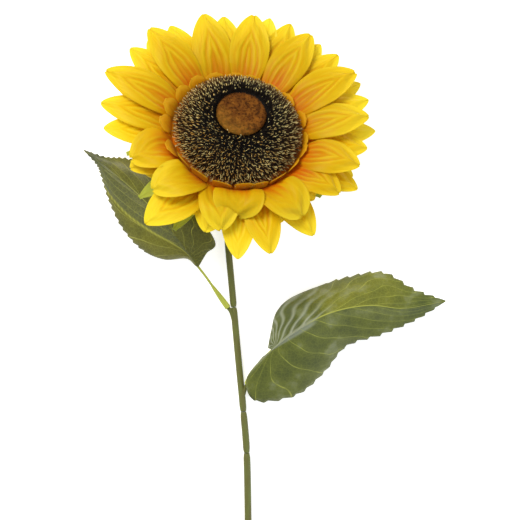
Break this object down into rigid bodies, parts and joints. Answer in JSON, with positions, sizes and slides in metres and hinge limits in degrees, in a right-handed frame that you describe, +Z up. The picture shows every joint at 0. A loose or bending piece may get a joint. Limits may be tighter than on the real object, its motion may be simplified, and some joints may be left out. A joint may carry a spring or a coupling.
{
  "type": "artificial cut sunflower",
  "caption": "Artificial cut sunflower lying on a table, with a domed bristly disc, layered pointed petals, a slim jointed stem and large toothed leaves.",
  "frame": {"origin": "middle of the lying flower's footprint, on the surface it lies on", "axes": "+Y along the stem towards the head, +Z up from the surface, +X to the right of the stem seen from above"},
  "size_m": [0.306, 0.585, 0.0965],
  "materials": {
    "wire": "drawn",
    "stem": "matte",
    "petiole": "matte",
    "calyx": "matte",
    "leaf": "coated cloth",
    "petal": "satin",
    "petal_inner": "satin",
    "bract": "coated cloth",
    "disc": "bristly",
    "pad": "flocked"
  },
  "bodies": {
    "root": {"stem_wire": "wire", "stem_sleeve_neck": "stem", "stem_sleeve_fork": "stem", "stem_sleeve_middle": "stem", "stem_sleeve_lower": "stem", "leaf_left_petiole": "petiole", "leaf_left_blade": "leaf", "leaf_right_petiole": "petiole", "leaf_right_blade": "leaf", "disc_cushion": "disc", "disc_centre_pad": "pad", "petal_layer_inner": "petal_inner", "petal_layer_front": "petal", "petal_layer_middle": "petal", "petal_layer_back": "petal", "bract_layer": "bract", "calyx_cup": "calyx"}
  },
  "joints": []
}
